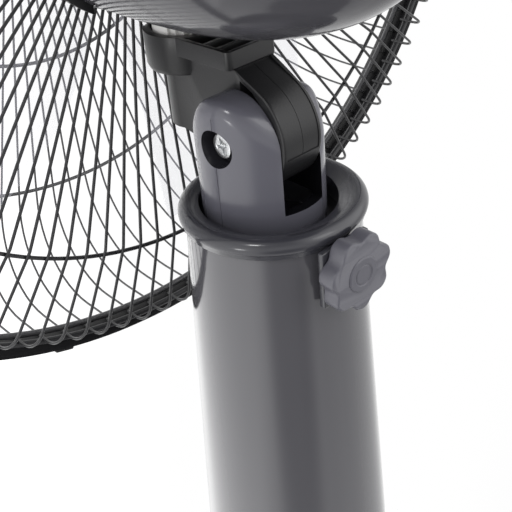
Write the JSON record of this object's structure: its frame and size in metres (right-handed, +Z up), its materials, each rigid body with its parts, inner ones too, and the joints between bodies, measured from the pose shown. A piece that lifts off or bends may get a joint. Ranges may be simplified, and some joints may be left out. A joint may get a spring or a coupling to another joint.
{
  "type": "pedestal fan",
  "caption": "Floor-standing pedestal fan with a round weighted base, tapered column, height clamp, tilting and swinging motor head, wire guard and clear blade.",
  "frame": {"origin": "middle of the base at floor level", "axes": "+Z up along the column, -Y the way the fan blows, +Y the clamp knob side"},
  "size_m": [0.4519, 0.4, 1.0025],
  "materials": {
    "gloss_grey": "glossy moulded plastic",
    "cover_grey": "glossy moulded plastic",
    "neck_grey": "semi-gloss moulded plastic",
    "black_plastic": "fine matte moulded plastic",
    "key_grey": "satin moulded plastic",
    "nylon": "natural nylon",
    "rubber": "matte rubber",
    "cast_weight": "rough casting",
    "steel": "zinc-plated steel",
    "painted_steel": "black baked coating",
    "painted_steel_grey": "grey baked coating",
    "pole_paint": "grey baked coating",
    "aluminium": "die-cast",
    "laminations": "stacked sheet steel",
    "copper": "enamelled wire",
    "bronze": "sintered bearing metal",
    "clear_blade": "clear tinted plastic"
  },
  "bodies": {
    "stand": {"base_cover": "gloss_grey", "base_weight": "cast_weight", "base_plate": "painted_steel", "base_feet": "rubber", "base_screws": "steel", "column_flange": "steel", "flange_screws": "steel", "guide_tube": "steel", "column": "gloss_grey", "collar": "gloss_grey", "collar_bush": "black_plastic", "clamp_nut": "steel", "control_panel": "black_plastic", "key_switch": "nylon", "timer_body": "nylon", "cord_gland": "rubber"},
    "off_key": {"key_off": "key_grey"},
    "low_key": {"key_low": "key_grey"},
    "medium_key": {"key_medium": "key_grey"},
    "high_key": {"key_high": "key_grey"},
    "swing_key": {"key_swing": "key_grey"},
    "timer": {"timer_knob": "neck_grey"},
    "clamp_slide": {"clamp_shoe": "nylon"},
    "clamp": {"clamp_knob": "neck_grey", "clamp_screw": "steel"},
    "mast": {"pole": "pole_paint", "pole_foot": "nylon", "neck": "neck_grey", "pivot_bolt": "steel", "pivot_nut": "steel"},
    "bracket": {"tilt_bracket": "black_plastic", "spindle_bush": "bronze", "thrust_washer": "nylon", "swing_gear": "nylon"},
    "head": {"spindle": "steel", "spindle_screw": "steel", "motor_frame": "aluminium", "motor_bell": "aluminium", "stator": "laminations", "windings": "copper", "bearings": "bronze", "motor_screws": "steel", "swing_motor": "steel", "front_cover": "black_plastic", "rear_cover": "cover_grey", "cover_screws": "steel", "rear_guard_wires": "painted_steel", "rear_guard_rings": "painted_steel", "front_guard_wires": "painted_steel_grey", "front_guard_rings": "painted_steel_grey", "guard_band": "black_plastic", "guard_clips": "black_plastic", "guard_nut": "black_plastic", "guard_badge": "cover_grey"},
    "pinion": {"swing_pinion": "nylon"},
    "fan": {"rotor": "laminations", "shaft": "steel", "blade": "clear_blade", "blade_nut": "cover_grey"}
  },
  "joints": [
    {"name": "off_press", "type": "slide", "parent": "stand", "child": "off_key", "axis": [0, 0, -1], "range_m": [0, 0.003], "stiffness_N_per_m": 400, "springref_m": -0.001},
    {"name": "low_press", "type": "slide", "parent": "stand", "child": "low_key", "axis": [0, 0, -1], "range_m": [0, 0.003], "stiffness_N_per_m": 400, "springref_m": -0.001},
    {"name": "medium_press", "type": "slide", "parent": "stand", "child": "medium_key", "axis": [0, 0, -1], "range_m": [0, 0.003], "stiffness_N_per_m": 400, "springref_m": -0.001},
    {"name": "high_press", "type": "slide", "parent": "stand", "child": "high_key", "axis": [0, 0, -1], "range_m": [0, 0.003], "stiffness_N_per_m": 400, "springref_m": -0.001},
    {"name": "swing_press", "type": "slide", "parent": "stand", "child": "swing_key", "axis": [0, 0, -1], "range_m": [0, 0.003], "stiffness_N_per_m": 400, "springref_m": -0.001},
    {"name": "timer_turn", "type": "hinge", "parent": "stand", "child": "timer", "pos_m": [0, -0.114, 0.05], "axis": [0, 0, 1], "range_deg": [-300, 0]},
    {"name": "clamp_travel", "type": "slide", "parent": "stand", "child": "clamp_slide", "axis": [0, 1, 0], "range_m": [0, 0.002]},
    {"name": "clamp_turn", "type": "hinge", "parent": "clamp_slide", "child": "clamp", "pos_m": [0, 0.045, 0.63], "axis": [0, 1, 0], "range_deg": [0, 720]},
    {"name": "mast_slide", "type": "slide", "parent": "stand", "child": "mast", "axis": [0, 0, 1], "range_m": [0, 0.25]},
    {"name": "tilt", "type": "hinge", "parent": "mast", "child": "bracket", "pos_m": [0, -0.002, 0.6774], "axis": [1, 0, 0], "range_deg": [-20, 2.5]},
    {"name": "swing", "type": "hinge", "parent": "bracket", "child": "head", "pos_m": [0, -0.045, 0.71], "axis": [0, 0, 1], "range_deg": [-30, 30]},
    {"name": "pinion_turn", "type": "hinge", "parent": "head", "child": "pinion", "pos_m": [0, -0.02685, 0.712], "axis": [0, 0, 1], "range_deg": [-80, 80]},
    {"name": "fan_spin", "type": "hinge", "parent": "head", "child": "fan", "pos_m": [0, -0.1, 0.7765], "axis": [0, -1, 0], "continuous": true}
  ],
  "couplings": [
    {"joint": "pinion_turn", "follows": "swing", "ratio": 2.6},
    {"joint": "clamp_travel", "follows": "clamp_turn", "m_per_rad": 0.00015915}
  ]
}
